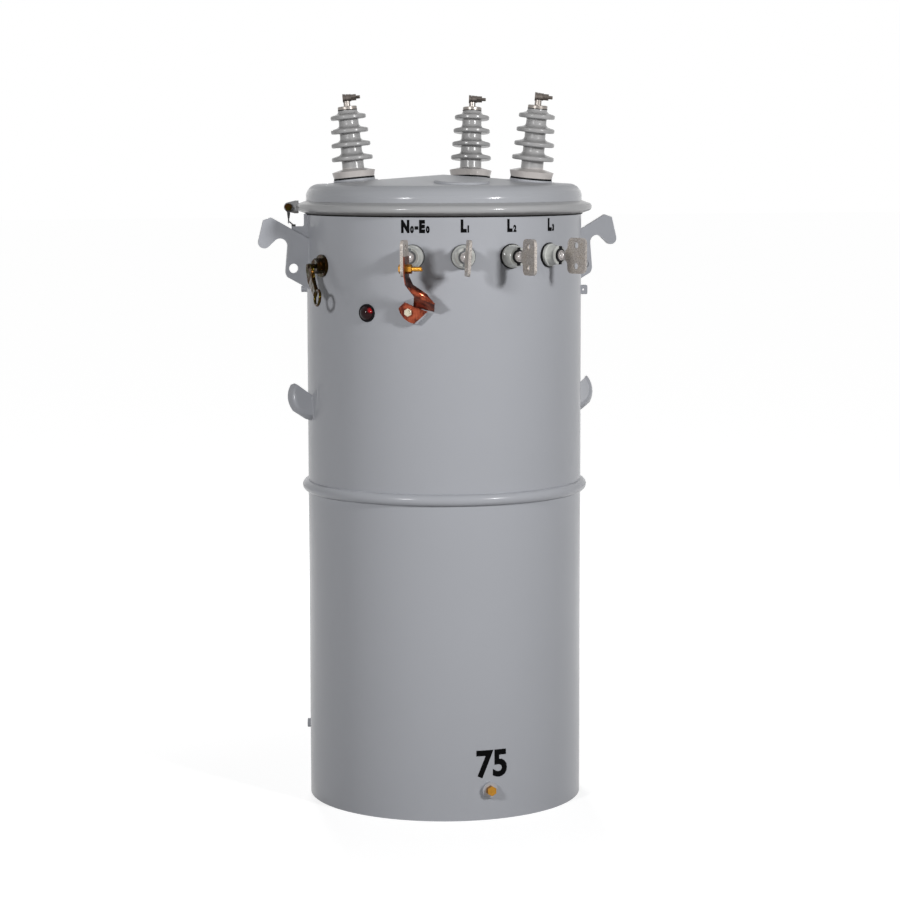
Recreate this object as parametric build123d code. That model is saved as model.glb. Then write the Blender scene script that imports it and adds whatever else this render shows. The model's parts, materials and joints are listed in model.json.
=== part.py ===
from build123d import *
import os
from math import cos, degrees, radians, sin, sqrt, tan

# Pole mounted distribution transformer: a round steel tank with three cover mounted high
# voltage bushings and four wall mounted low voltage bushings. All lengths are millimetres.
# The origin is on the tank axis, level with the bottom rim. +Z is up, the low voltage side
# faces -Y and the pole side faces +Y. Azimuths run from -Y towards +X, in degrees.

# ---- Tank -------------------------------------------------------------------------------
TANK_R = 305.0            # outside radius of the rolled wall
SKIRT_WALL = 5.0          # wall thickness of the skirt below the floor plate
FLOOR_RECESS = 32.0       # height of the floor plate's underside above the rim
FLOOR_WALL = 6.0
BEAD_Z = 700.5            # centre height of the rolled bead
BEAD_R = 12.7
RIM_Z = 1317.0            # top face of the rim flange
FLANGE_OUT = 15.0         # rim and cover flanges stand out this far
FLANGE_EDGE = 3.5         # height of a flange at its outer edge
FLANGE_ROOT = 9.0         # height of a flange where it meets the wall
FIT = 0.3                 # clearance of round pieces that seat in each other

# ---- Cover and its clamp band -----------------------------------------------------------
GASKET_THICK = 3.0
COVER_WALL = 4.0
COVER_OVER = 1.0          # the cover's skirt is this much larger in radius than the tank
SHOULDER_IN = 31.0        # the rounded shoulder meets the cone this far inside the skirt
SHOULDER_START = 25.0     # height of the skirt, where the shoulder starts
SHOULDER_RISE = 49.0      # height of the shoulder's top above the cover's lower face
APEX_RISE = 69.5
SHOULDER_BOW = 7.8        # the shoulder bulges this far past its chord
BAND_WALL = 3.5
BAND_CROWN = 4.5          # extra depth of the band's rounded nose
BAND_OPEN = 1.5           # gap between the band's edges and the tank wall
BAND_GAP = 16.0           # gap between the two band ends, closed by the bolt
BAND_AZ = -107.0
EAR_REACH = 50.0          # outer end of the band ears, from the tank wall
EAR_WALL = 3.5
EAR_TALL = 28.0           # height of an ear where it leaves the band
EAR_END_R = 10.5          # the ear tapers to a round end about the bolt
BAND_BOLT_R = 4.7
BAND_NUT_AF = 15.0
BAND_NUT_TALL = 7.0
BAND_BOLT_TAIL = 8.0
PAD_AZ = -5.0             # blank embossed pad on the front of the cover
PAD_R = 60.0
PAD_RISE = 5.0
PAD_IN = 105.0            # distance of the pad's middle inside the tank wall

# ---- High voltage bushings --------------------------------------------------------------
HV_AZIMUTHS = [54.5, 146.5, 243.5]
HV_IN = 102.0             # distance of a bushing's axis inside the tank wall
HV_TILT = 5.5
HV_PAD_R = 46.5           # machined ring that the gasket lies on
HV_PAD_TALL = 3.5
HV_PAD_RISE = 5.0         # top of the ring above the cover
HV_PAD_FLARE = 6.0        # the cover flares out round the ring by this much
HV_GASKET_R = 45.5
HV_GASKET_THICK = 4.0
HV_FOOT_R = 48.3
HV_FOOT_DRAW = 3.3        # the foot is this much smaller in radius at its lower face
HV_FOOT_TALL = 13.5
HV_FOOT_CONE = 6.0
HV_CORE_LOW_R = 25.0
HV_CORE_HIGH_R = 21.3
HV_LENGTH = 149.8         # porcelain, from its foot to the cap
SHED_COUNT = 4
SHED_FIRST = 42.0         # middle of the lowest shed's rim above the foot
HV_NECK = 16.2            # from the middle of the top shed's rim to the cap
SHED_R = 45.8
SHED_TAPER = 2.1          # each shed is this much smaller in radius than the one below
SHED_RIM = 9.0
SHED_SLOPE = 14.0
SHED_ROUND = 3.4
SHED_ROOT_ABOVE = 0.5     # rounds where a shed meets the core, above it and below it,
SHED_ROOT_BELOW = 0.2     # as shares of the free core between two sheds
CAP_R = 21.3
CAP_TALL = 8.0
STUD_R = 7.35
STUD_TALL = 11.5
CLAMP_AZ = 74.0           # all three clamps point their screws this way
JAW_R = 9.5               # outer end of the clamp's jaw
JAW_LONG = 6.0
BODY_LONG = 10.4          # from the jaw to the washer
BODY_R = 7.7              # end of the tapering body at the washer
CLAMP_GROOVE = 1.0        # closed wire groove between the jaw and the body
GROOVE_DEEP = 2.0
CLAMP_WASHER_R = 8.2
CLAMP_WASHER_THICK = 2.0
CLAMP_NUT_AF = 13.6
CLAMP_NUT_TALL = 11.6
CLAMP_SCREW_R = 3.65
CLAMP_SCREW_OUT = 8.9

# ---- Low voltage bushings ---------------------------------------------------------------
LV_AZIMUTHS = [-28.5, -8.4, 12.0, 31.6]
LV_Z = 1219.3
LV_GASKET_R = 26.5
LV_GASKET_THICK = 3.5
LV_COLLAR_R = 24.5
LV_COLLAR_LONG = 6.0
LV_LENGTH = 31.0          # porcelain front face, from the tank wall
LV_FRONT_R = 20.5
LV_WASHER_R = 14.5        # rubber washer on the porcelain's front
LV_WASHER_THICK = 3.0
WASHER_TAB_WIDE = 6.5     # two tabs, up and down, keep the washer from turning
WASHER_TAB_OUT = 19.5
HUB_R = 11.0              # flange of the spade on the washer
HUB_LONG = 2.5
HUB_DOME_R = 8.6
SPADE_THICK = 6.4
SPADE_WIDE = 48.5
SPADE_TALL = 76.2
SPADE_START = 55.0        # inner edge of the spade plate, from the tank wall
SPADE_CORNER = 12.0
SPADE_TURNS = [0, 3.5, 0, 1.5]     # how far each spade stands off plumb
SPADE_HOLE_R = 7.15
SPADE_HOLE_PITCH = 44.45
SPADE_HOLE_OUT = 77.0     # hole line, from the tank wall
NECK_TALL = 18.5
NECK_FLARE = 12.0         # the neck widens into the plate by arcs of this radius

# ---- Neutral ground strap ---------------------------------------------------------------
STRAP_AZ = LV_AZIMUTHS[0]
STRAP_THICK = 2.0
STRAP_TOP = 4.0           # the strap's upper end, above the bushing's axis
STRAP_END_OUT = 99.0      # outer edge of the strap's upper leg, from the tank wall
STRAP_WIDE = 44.0
FOOT_REACH = 32.0         # the strap's foot reaches this far from the lower bolt
STRAP_BOLT_R = 4.9
STRAP_HEAD_AF = 17.0
STRAP_HEAD_TALL = 8.0
STRAP_NUT_TALL = 11.0
STRAP_BOLT_TAIL = 21.0    # thread beyond the nut
BOSS_SIDE = 5.0           # offset of the strap boss to the right of the strap's azimuth
BOSS_Z = 1105.0
BOSS_LONG = 48.0
BOSS_WIDE = 33.0
BOSS_OUT = 16.0
LOW_BOLT_SIDE = -5.0
LOW_BOLT_Z = 1103.0
LOW_BOLT_AF = 15.0
LOW_BOLT_TALL = 8.0
LOW_STUD_R = 4.7
LOW_STUD_TALL = 11.0

# ---- Signal light -----------------------------------------------------------------------
SIGNAL_AZ = -48.5
SIGNAL_Z = 1098.5
SIGNAL_BEZEL_R = 19.0
SIGNAL_BEZEL_THICK = 4.0
SIGNAL_LENS_R = 16.0
SIGNAL_LENS_OUT = 15.0

# ---- Breaker operating handle -----------------------------------------------------------
BREAKER_AZ = -75.6
BREAKER_Z = 1194.5
BREAKER_FLANGE_R = 24.5
BREAKER_FLANGE_THICK = 6.0
GLAND_AF = 29.0
GLAND_TALL = 8.0          # fixed hex of the gland
LOCK_NUT_TALL = 6.5       # second hex, against the first
LOCK_GROOVE = 1.0         # groove between the two
SHAFT_R = 5.0
SHAFT_CLEAR = 0.08
SHAFT_BORE_DEEP = 18.0
HANDLE_START = 27.0       # inner face of the handle, from the tank wall
HANDLE_THICK = 9.0
HANDLE_ROUND = 2.0        # rounding of the handle's edges
HANDLE_HUB_R = 13.0
HANDLE_HUB_AT = (2.0, -7.0)    # middle of the hub's round end, from the shaft
HANDLE_BEND_AT = (8.0, -31.0)  # where the arm turns aside
HANDLE_BEND_R = 12.0
ARM_TURN = -35.0          # direction of the arm, from level
ARM_LIFT = 11.0           # the arm leans out from the wall
ARM_LONG = 61.0           # from the bend to the middle of the ring
ARM_END_R = 8.0
RING_R = 19.5
RING_EYE_R = 13.2
SHAFT_TIP = 2.0

# ---- Lifting lugs, cleats and small bosses ----------------------------------------------
LUG_AZIMUTHS = {"left": -94.0, "right": 94.0}
LUG_THICK = 9.5
LUG_FOOT_Z = 1140.0       # lower end of the weld
LUG_TALL = 157.5          # from there to the crown
LUG_REACH = 111.5         # tip of the hook, from the wall
LUG_HOLE_R = 10.3
LUG_HOLE_OUT = 33.5
LUG_HOLE_UP = 45.5        # hole above the lower end of the weld
CLEAT_SIDES = {"left": -1, "right": 1}
CLEAT_THICK = 6.0
CLEAT_AZ = 89.1
CLEAT_Z = 906.0           # middle of the rounded outer edge
CLEAT_R = 52.0            # radius of the outer edge
CLEAT_LIP = 18.0          # width of the lip that is bent away from the front
CLEAT_LIP_BEND = 60.0
CLEAT_LIP_ROUND = 8.0
CLEAT_DROP = 56.0         # from the middle of the outer edge to the foot
CLEAT_LEAN = 15.0         # the plate leans back at its top
CLEAT_SWEEP = 6.0         # and is swept back from radial
SIDE_BOSS_AZ = -112.0
SIDE_BOSS_Z = 1135.0
SIDE_BOSS_R = 7.2
SIDE_BOSS_OUT = 16.0
SIDE_BOSS_BORE_R = 3.4
SIDE_BOSS_BORE_DEEP = 11.0
SIDE_TAB_AZ = 79.0
SIDE_TAB_Z = 1132.5
SIDE_TAB_THICK = 9.0
SIDE_TAB_TALL = 20.8
SIDE_TAB_OUT = 17.0
SIDE_TAB_CORNER = 3.2
SIDE_TAB_HOLE_R = 2.4
SIDE_TAB_HOLE_OUT = 8.0
DRAIN_AZ = -110.0
DRAIN_Z = 147.0
DRAIN_R = 10.0
DRAIN_OUT = 8.0
TAB_THICK = 4.0
TAB_WIDE = 8.5            # width of the strip along the wall
TAB_TOP_GAP = 12.5        # top of the strip below the rim
TAB_TALL = 62.0
TAB_SHELF_DROP = 27.0     # level edge of the foot below the top of the strip
TAB_REACH = 36.0
LEAD_R = 1.6              # bonding lead
LEAD_EYE_R = 8.5          # terminal of the lead, on the band bolt
LEAD_EYE_THICK = 2.5
LEAD_BOOT_R = 3.6
LEAD_BOOT_LONG = 12.0
LEAD_SLACK = 5.0          # the lead bows out this far
LEAD_PLUG = 9.0           # width of the connector on the tab

# ---- Pole support lugs ------------------------------------------------------------------
SUPPORT_PITCH = 590.55
SUPPORT_LOW_Z = 489.0
SUPPORT_OUT = 70.0        # bearing face, from the tank wall
SUPPORT_WIDE = 102.0
SUPPORT_TALL = 90.0
SUPPORT_WALL = 8.0
SLOT_WIDE = 20.6
SLOT_LONG = 38.0

# ---- Lower ground connector -------------------------------------------------------------
GROUND_AZ = 2.2
GROUND_Z = 67.5
GROUND_PAD_R = 17.0
GROUND_PAD_OUT = 9.0
GROUND_BOLT_AF = 19.0
GROUND_BOLT_TALL = 11.0

# ---- Derived places ---------------------------------------------------------------------
FLOOR_Z = FLOOR_RECESS + FLOOR_WALL
SKIRT_R = TANK_R - SKIRT_WALL
FLANGE_R = TANK_R + FLANGE_OUT
COVER_Z = RIM_Z + GASKET_THICK
COVER_R = TANK_R + COVER_OVER
SHOULDER_R = COVER_R - SHOULDER_IN
SHOULDER_Z = COVER_Z + SHOULDER_RISE
APEX_Z = COVER_Z + APEX_RISE
CONE_SLOPE = (APEX_Z - SHOULDER_Z) / SHOULDER_R
BAND_MID_Z = RIM_Z + GASKET_THICK / 2
BAND_BOLT_OUT = TANK_R + EAR_REACH - EAR_END_R
HV_OUT = TANK_R - HV_IN
SHED_PITCH = (HV_LENGTH - SHED_FIRST - HV_NECK) / (SHED_COUNT - 1)
STRAP_TOP_Z = LV_Z + STRAP_TOP
GLAND_TOP = BREAKER_FLANGE_THICK + GLAND_TALL + LOCK_NUT_TALL
HANDLE_MID = HANDLE_START + HANDLE_THICK / 2
LUG_STEP = degrees((LUG_THICK + TAB_THICK + 2 * FIT) / 2 / TANK_R)
TAB_AZ = LUG_AZIMUTHS["left"] - LUG_STEP
TAB_TOP_Z = RIM_Z - TAB_TOP_GAP


def around(azimuth, piece):
    """Turn a piece drawn on the front of the tank to its azimuth."""
    return Rot(0, 0, azimuth) * piece


def on_wall(azimuth, height, piece):
    """Place a piece whose own +Z points straight out of the tank wall and +Y up."""
    return around(azimuth, Pos(0, -TANK_R, height) * Rot(90, 0, 0) * piece)


def off_tank(piece):
    """Trim what reaches into the tank, so that the piece seats on the round wall."""
    return piece - Cylinder(TANK_R, 2 * RIM_Z)


def rod(radius, start, end):
    """A round bar along +Z between two heights."""
    return Pos(0, 0, (start + end) / 2) * Cylinder(radius, end - start)


def hexagon(across_flats, start, end):
    """A hexagonal bar along +Z between two heights, with a corner pointing up."""
    outline = RegularPolygon(across_flats / sqrt(3), 6, rotation=90)
    return Pos(0, 0, start) * extrude(outline, end - start)


def turned(points):
    """A solid turned about Z from its half section, given as radius and height pairs."""
    section = Plane.XZ * make_face(Polyline(*points, close=True))
    return revolve(section, Axis.Z)


def radial_plate(thickness, outline):
    """A plate in the plane that holds the tank axis, drawn as radius and height."""
    face = Plane((0, 0, 0), x_dir=(0, -1, 0), z_dir=(-1, 0, 0)) * outline
    return extrude(face, thickness / 2, both=True)


def cone_height(radius):
    """Height of the cover's outer surface at a distance from the axis."""
    return APEX_Z - CONE_SLOPE * radius


# ---- Tank and cover ---------------------------------------------------------------------
def make_tank_shell():
    """Sealed tank: skirt, wall, rolled bead and the flange that the band clamps."""
    wall = turned([
        (0, FLOOR_Z),
        (SKIRT_R, FLOOR_Z),
        (SKIRT_R, 0),
        (TANK_R, 0),
        (TANK_R, RIM_Z - FLANGE_ROOT),
        (FLANGE_R, RIM_Z - FLANGE_EDGE),
        (FLANGE_R, RIM_Z),
        (0, RIM_Z),
    ])
    return wall + Pos(0, 0, BEAD_Z) * Torus(TANK_R, BEAD_R)


def make_tank_floor():
    """Floor plate, set up inside the skirt."""
    return rod(SKIRT_R - FIT, FLOOR_RECESS, FLOOR_Z)


def make_cover_gasket():
    ring = Circle(FLANGE_R - GASKET_THICK / 3) - Circle(TANK_R - FLANGE_OUT)
    return Pos(0, 0, RIM_Z) * extrude(ring, GASKET_THICK)


def cover_section(offset):
    """Half section of the domed cover, inset by the offset."""
    radius = COVER_R - offset
    shoulder = Vector(SHOULDER_R - offset / 2, SHOULDER_Z - offset)
    wall_top = Vector(radius, COVER_Z + SHOULDER_START - offset / 2)
    apex = Vector(0, APEX_Z - offset)
    chord = shoulder - wall_top
    bulge = Vector(chord.Y, -chord.X).normalized() * SHOULDER_BOW
    bow = ThreePointArc(wall_top, wall_top + chord * 0.5 + bulge, shoulder)
    lines = [
        Line((0, COVER_Z), (radius, COVER_Z)),
        Line((radius, COVER_Z), wall_top),
        bow,
        Line(shoulder, apex),
        Line(apex, (0, COVER_Z)),
    ]
    return Plane.XZ * make_face(lines)


def make_cover():
    """Pressed cover with its clamped flange, a blank pad and three bushing pads."""
    dome = revolve(cover_section(0), Axis.Z)
    inside = COVER_R - 2 * COVER_WALL
    flange = turned([
        (inside, COVER_Z),
        (FLANGE_R, COVER_Z),
        (FLANGE_R, COVER_Z + FLANGE_EDGE),
        (TANK_R, COVER_Z + FLANGE_ROOT),
        (inside, COVER_Z + FLANGE_ROOT),
    ])
    pad_out = TANK_R - PAD_IN
    pad = Pos(0, -pad_out, cone_height(pad_out) - PAD_RISE)
    pad *= Rot(degrees(CONE_SLOPE), 0, 0)
    blank = pad * rod(PAD_R, 0, 2 * PAD_RISE)
    blank = fillet(blank.edges().sort_by(Axis.Z)[-1:], PAD_RISE * 0.8)
    shell = dome + flange + around(PAD_AZ, blank)
    for azimuth in HV_AZIMUTHS:
        shell += on_cover(azimuth, make_hv_pad())
    return shell - revolve(cover_section(COVER_WALL), Axis.Z)


def make_hv_pad():
    """Seat of a bushing: a ring with a sharp edge, on a flare of the cover."""
    flare_r = HV_PAD_R + HV_PAD_FLARE
    return turned([
        (0, -2 * HV_PAD_RISE),
        (flare_r, -2 * HV_PAD_RISE),
        (flare_r, -HV_PAD_RISE),
        (HV_PAD_R, -HV_PAD_TALL),
        (HV_PAD_R, 0),
        (0, 0),
    ])


def on_cover(azimuth, piece):
    """Place a piece on a bushing pad, its own +Z along the tilted bushing axis."""
    seat = Pos(0, -HV_OUT, cone_height(HV_OUT) + HV_PAD_RISE)
    return around(azimuth, seat * Rot(HV_TILT, 0, 0) * piece)


def band_section(gap):
    """Half section of the band, a channel that stands off both flanges by a gap."""
    slope = (FLANGE_ROOT - FLANGE_EDGE) / FLANGE_OUT
    stand_off = gap * sqrt(1 + slope ** 2)
    root = TANK_R + BAND_OPEN
    half_root = GASKET_THICK / 2 + FLANGE_ROOT - slope * BAND_OPEN + stand_off
    half_edge = GASKET_THICK / 2 + FLANGE_EDGE + stand_off
    nose = FLANGE_R + gap + BAND_CROWN
    lines = [
        Line((root, -half_root), (FLANGE_R, -half_edge)),
        ThreePointArc((FLANGE_R, -half_edge), (nose, 0), (FLANGE_R, half_edge)),
        Line((FLANGE_R, half_edge), (root, half_root)),
        Line((root, half_root), (root, -half_root)),
    ]
    return Pos(0, 0, BAND_MID_Z) * (Plane.XZ * make_face(lines))


def make_cover_band():
    """Clamp band, split at one place, with a tapered ear on each end for the bolt."""
    band = revolve(band_section(FIT + BAND_WALL), Axis.Z) - revolve(band_section(FIT), Axis.Z)
    reach = EAR_REACH - FLANGE_OUT
    band -= Pos(0, -TANK_R, BAND_MID_Z) * Box(BAND_GAP, 4 * reach, 4 * reach)
    root_out = FLANGE_R + FIT + BAND_WALL
    root = Pos(root_out + EAR_WALL, BAND_MID_Z) * Rectangle(2 * EAR_WALL, EAR_TALL)
    end = Pos(BAND_BOLT_OUT, BAND_MID_Z) * Circle(EAR_END_R)
    outline = make_hull(root.edges() + end.edges())
    ear = radial_plate(EAR_WALL, outline)
    ear -= band_bolt_place(Cylinder(BAND_BOLT_R + FIT, 2 * BAND_GAP))
    shift = (BAND_GAP + EAR_WALL) / 2
    for side in (-1, 1):
        band += Pos(side * shift, 0, 0) * ear
    return around(BAND_AZ, band)


def band_bolt_place(piece):
    """Lay a piece along the band bolt's axis, before it is turned to the band's gap."""
    return Pos(0, -BAND_BOLT_OUT, BAND_MID_Z) * Rot(0, 90, 0) * piece


def make_band_bolt():
    """Hex bolt and nut that draw the band ears together."""
    face = BAND_GAP / 2 + EAR_WALL
    nut_face = face + LEAD_EYE_THICK
    bolt = rod(BAND_BOLT_R, -face - BAND_NUT_TALL, nut_face + BAND_NUT_TALL + BAND_BOLT_TAIL)
    bolt += hexagon(BAND_NUT_AF, nut_face, nut_face + BAND_NUT_TALL)
    bolt += hexagon(BAND_NUT_AF, -face - BAND_NUT_TALL, -face)
    return around(BAND_AZ, band_bolt_place(bolt))


# ---- High voltage bushings --------------------------------------------------------------
def shed_height(index):
    return SHED_FIRST + SHED_PITCH * index


def core_radius(height):
    share = height / HV_LENGTH
    return HV_CORE_LOW_R + (HV_CORE_HIGH_R - HV_CORE_LOW_R) * share


def make_hv_porcelain():
    """Tapering porcelain with sheds that slope down to round rims and have round roots."""
    foot_top = HV_FOOT_TALL + HV_FOOT_CONE
    body = make_face(Polyline(
        (0, 0),
        (HV_FOOT_R - HV_FOOT_DRAW, 0),
        (HV_FOOT_R, HV_FOOT_TALL),
        (core_radius(foot_top), foot_top),
        (core_radius(HV_LENGTH), HV_LENGTH),
        (0, HV_LENGTH),
        close=True,
    ))
    slope = tan(radians(SHED_SLOPE))
    core_free = SHED_PITCH - SHED_RIM - (SHED_R - core_radius(SHED_FIRST)) * slope
    for index in range(SHED_COUNT):
        below = shed_height(index) - SHED_RIM / 2
        above = shed_height(index) + SHED_RIM / 2
        rim = SHED_R - SHED_TAPER * index
        shed = make_face(Polyline(
            (0, below), (rim, below), (rim, above), (0, above + rim * slope), close=True,
        ))
        body += fillet(shed.vertices().filter_by_position(Axis.X, rim - 1, rim + 1), SHED_ROUND)
        core_top = above + (rim - core_radius(above)) * slope
        root_above = body.vertices().sort_by_distance((core_radius(core_top), core_top))[0]
        body = fillet(root_above, SHED_ROOT_ABOVE * core_free)
        root_below = body.vertices().sort_by_distance((core_radius(below), below))[0]
        body = fillet(root_below, SHED_ROOT_BELOW * core_free)
    return revolve(Plane.XZ * body, Axis.Z)


def hv_place(piece):
    """Stand a piece on the gasket, in a bushing's own frame."""
    return Pos(0, 0, HV_GASKET_THICK) * piece


def make_hv_terminal():
    """Metal cap on the porcelain with its plain stud."""
    cap = rod(CAP_R, HV_LENGTH, HV_LENGTH + CAP_TALL)
    cap = chamfer(cap.edges(), 1.2)
    return cap + rod(STUD_R, HV_LENGTH + CAP_TALL - 1, HV_LENGTH + CAP_TALL + STUD_TALL)


def make_hv_clamp():
    """Clamp across the stud: a jaw drawn on a tapering body by its nut and screw."""
    start = -(JAW_LONG + BODY_LONG) / 2
    seam = start + JAW_LONG
    end = seam + BODY_LONG
    seam_r = JAW_R + (BODY_R - JAW_R) * JAW_LONG / (end - start)
    barrel = turned([
        (0, start),
        (JAW_R, start),
        (seam_r, seam),
        (seam_r - GROOVE_DEEP, seam),
        (seam_r - GROOVE_DEEP, seam + CLAMP_GROOVE),
        (seam_r, seam + CLAMP_GROOVE),
        (BODY_R, end),
        (CLAMP_WASHER_R, end),
        (CLAMP_WASHER_R, end + CLAMP_WASHER_THICK),
        (0, end + CLAMP_WASHER_THICK),
    ])
    nut_end = end + CLAMP_WASHER_THICK + CLAMP_NUT_TALL
    nut = hexagon(CLAMP_NUT_AF, end, nut_end)
    screw = rod(CLAMP_SCREW_R, end, nut_end + CLAMP_SCREW_OUT)
    screw = fillet(screw.edges().sort_by(Axis.Z)[-1], CLAMP_SCREW_R / 3)
    middle = HV_LENGTH + CAP_TALL + STUD_TALL + seam_r - STUD_R / 4
    clamp = Pos(0, 0, middle) * Rot(0, 90, 0) * (barrel + nut + screw)
    return clamp - rod(STUD_R, 0, HV_LENGTH + CAP_TALL + STUD_TALL)


def make_hv_gaskets():
    seal = rod(HV_GASKET_R, 0, HV_GASKET_THICK)
    return Compound(children=[on_cover(azimuth, seal) for azimuth in HV_AZIMUTHS])


# ---- Low voltage bushings ---------------------------------------------------------------
def make_lv_gaskets():
    """Seal of each bushing on the wall and the tabbed washer on its front."""
    seal = rod(LV_GASKET_R, -TANK_R / 20, LV_GASKET_THICK)
    outline = Circle(LV_WASHER_R) + Rectangle(WASHER_TAB_WIDE, 2 * WASHER_TAB_OUT)
    washer = Pos(0, 0, LV_LENGTH) * extrude(outline, LV_WASHER_THICK)
    pieces = []
    for azimuth, turn in zip(LV_AZIMUTHS, SPADE_TURNS):
        pieces.append(off_tank(on_wall(azimuth, LV_Z, seal)))
        pieces.append(on_wall(azimuth, LV_Z, Rot(0, 0, -turn) * washer))
    return Compound(children=pieces)


def make_lv_porcelain():
    """Short porcelain: a collar on the gasket and a barrel with a raised front rim."""
    collar = LV_GASKET_THICK + LV_COLLAR_LONG
    return turned([
        (0, LV_GASKET_THICK),
        (LV_COLLAR_R, LV_GASKET_THICK),
        (LV_COLLAR_R, collar),
        (LV_COLLAR_R - 2, collar + 2),
        (LV_FRONT_R - 0.5, LV_LENGTH - 6),
        (LV_FRONT_R, LV_LENGTH - 4.5),
        (LV_FRONT_R, LV_LENGTH - 1.5),
        (LV_FRONT_R - 1.5, LV_LENGTH),
        (0, LV_LENGTH),
    ])


def make_lv_spade(turn):
    """Spade terminal: a domed hub and a neck that widens into a plate with two holes."""
    hub_start = LV_LENGTH + LV_WASHER_THICK
    dome_z = hub_start + HUB_LONG
    hub = rod(HUB_R, hub_start, dome_z)
    hub += Pos(0, 0, dome_z) * Sphere(HUB_DOME_R) & rod(HUB_R, dome_z, dome_z + HUB_DOME_R)
    plate = RectangleRounded(SPADE_WIDE, SPADE_TALL, SPADE_CORNER)
    plate = Pos(SPADE_START + SPADE_WIDE / 2, 0) * plate
    neck_end = SPADE_START + SPADE_CORNER
    neck = Rectangle(neck_end - dome_z, NECK_TALL)
    outline = plate + Pos((neck_end + dome_z) / 2, 0) * neck
    corners = outline.vertices().sort_by_distance((SPADE_START, 0))[:2]
    outline = fillet(corners, NECK_FLARE)
    for side in (-1, 1):
        hole = Circle(SPADE_HOLE_R)
        outline -= Pos(SPADE_HOLE_OUT, side * SPADE_HOLE_PITCH / 2) * hole
    blade = extrude(outline, SPADE_THICK / 2, both=True)
    return Rot(0, 0, -turn) * (hub + Rot(0, -90, 0) * blade)


# ---- Neutral ground strap ---------------------------------------------------------------
def strap_section(left, right, run):
    """Thin cross-section of the strap between two edge points, square to its run."""
    across = right - left
    along = run - across * (run.dot(across) / across.dot(across))
    plane = Plane((left + right) * 0.5, x_dir=across, z_dir=along)
    return plane * Rectangle(across.length, STRAP_THICK)


def make_ground_strap():
    """Copper strap: a leg on the spade, a twist, a fold back and a foot on the boss.

    Its edge points are given as shares: aside of its width, down of the height between its
    upper end and the boss, and out of the distance between the boss and its outer edge.
    """
    drop = STRAP_TOP_Z - BOSS_Z
    foot_out = BOSS_OUT + STRAP_THICK / 2
    reach = STRAP_END_OUT - foot_out
    leg = (SPADE_THICK + STRAP_THICK) / 2 / STRAP_WIDE
    back = (STRAP_END_OUT - STRAP_WIDE - foot_out) / reach
    edges = [
        ((leg, 0, 1), (leg, 0, back)),
        ((leg, 0.35, 1), (leg, 0.36, back)),
        ((leg, 0.5, 0.85), (0.25, 0.51, back - 0.09)),
        ((0.27, 0.66, 0.57), (0.91, 0.68, 0.29)),
        ((0.32, 0.72, 0.39), (1.3, 0.85, 0.32)),
        ((0.11, 0.915, 0), (1.14, 1.0, 0)),
    ]

    def edge_point(aside, down, out):
        return Vector(STRAP_WIDE * aside, STRAP_TOP_Z - drop * down, foot_out + reach * out)

    pairs = [(edge_point(*left), edge_point(*right)) for left, right in edges]
    middles = [(left + right) * 0.5 for left, right in pairs]
    foot_run = Vector(-1, -1, 0)
    sections = []
    for index, (left, right) in enumerate(pairs):
        before = middles[index] - middles[max(index - 1, 0)]
        after = middles[index + 1] - middles[index] if index + 1 < len(pairs) else foot_run
        run = after.normalized() + before.normalized() if index else after
        sections.append(strap_section(left, right, run))
    strap = loft(sections, ruled=True)
    strap += Pos(0, 0, BOSS_OUT) * extrude(strap_foot(), STRAP_THICK)
    strap -= Pos(LOW_BOLT_SIDE, LOW_BOLT_Z, BOSS_OUT) * Cylinder(LOW_STUD_R + FIT, 9)
    strap -= strap_bolt_place(Cylinder(STRAP_BOLT_R + FIT, 4 * SPADE_THICK))
    return on_wall(STRAP_AZ, 0, strap)


def strap_foot():
    """Outline of the strap's foot on the boss, as shares of its reach from the bolt."""
    def foot_at(aside, up):
        return (LOW_BOLT_SIDE + FOOT_REACH * aside, LOW_BOLT_Z + FOOT_REACH * up)

    tip, low = foot_at(-0.69, 0.27), foot_at(0.37, -0.75)
    round_side = ThreePointArc(tip, foot_at(-0.31, -0.41), low)
    straight = Polyline(low, foot_at(1.28, 0.06), foot_at(0.31, 0.41), foot_at(-0.28, 0.67), tip)
    return make_face([round_side, straight])


def strap_bolt_place(piece):
    """Lay a piece along the axis of the lower hole in the neutral spade."""
    hole_z = LV_Z - SPADE_HOLE_PITCH / 2
    return Pos(0, hole_z, SPADE_HOLE_OUT) * Rot(0, 90, 0) * piece


def make_strap_bolt_upper():
    """Brass bolt and nut that clamp the strap on the neutral spade."""
    head_face = -SPADE_THICK / 2
    nut_face = SPADE_THICK / 2 + STRAP_THICK
    nut_end = nut_face + STRAP_NUT_TALL
    bolt = hexagon(STRAP_HEAD_AF, head_face - STRAP_HEAD_TALL, head_face)
    bolt += rod(STRAP_BOLT_R, head_face - 1, nut_end + STRAP_BOLT_TAIL)
    bolt += hexagon(STRAP_HEAD_AF, nut_face, nut_end)
    return on_wall(STRAP_AZ, 0, strap_bolt_place(bolt))


def make_strap_boss():
    """Square edged pad welded on the tank at a slant, for the strap's foot."""
    pad = extrude(Rectangle(BOSS_LONG, BOSS_WIDE, rotation=-45), BOSS_OUT)
    pad = fillet(pad.edges().filter_by(Axis.Z), 4)
    pad += extrude(Rectangle(BOSS_LONG - 8, BOSS_WIDE - 8, rotation=-45), -6)
    pad = Pos(BOSS_SIDE, BOSS_Z, 0) * pad
    return off_tank(on_wall(STRAP_AZ, 0, pad))


def make_strap_bolt_lower():
    """Nut and stud that hold the strap's foot on the boss."""
    face = BOSS_OUT + STRAP_THICK
    bolt = hexagon(LOW_BOLT_AF, face, face + LOW_BOLT_TALL)
    bolt += rod(LOW_STUD_R, BOSS_OUT, face + LOW_STUD_TALL)
    return on_wall(STRAP_AZ, 0, Pos(LOW_BOLT_SIDE, LOW_BOLT_Z, 0) * bolt)


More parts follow.
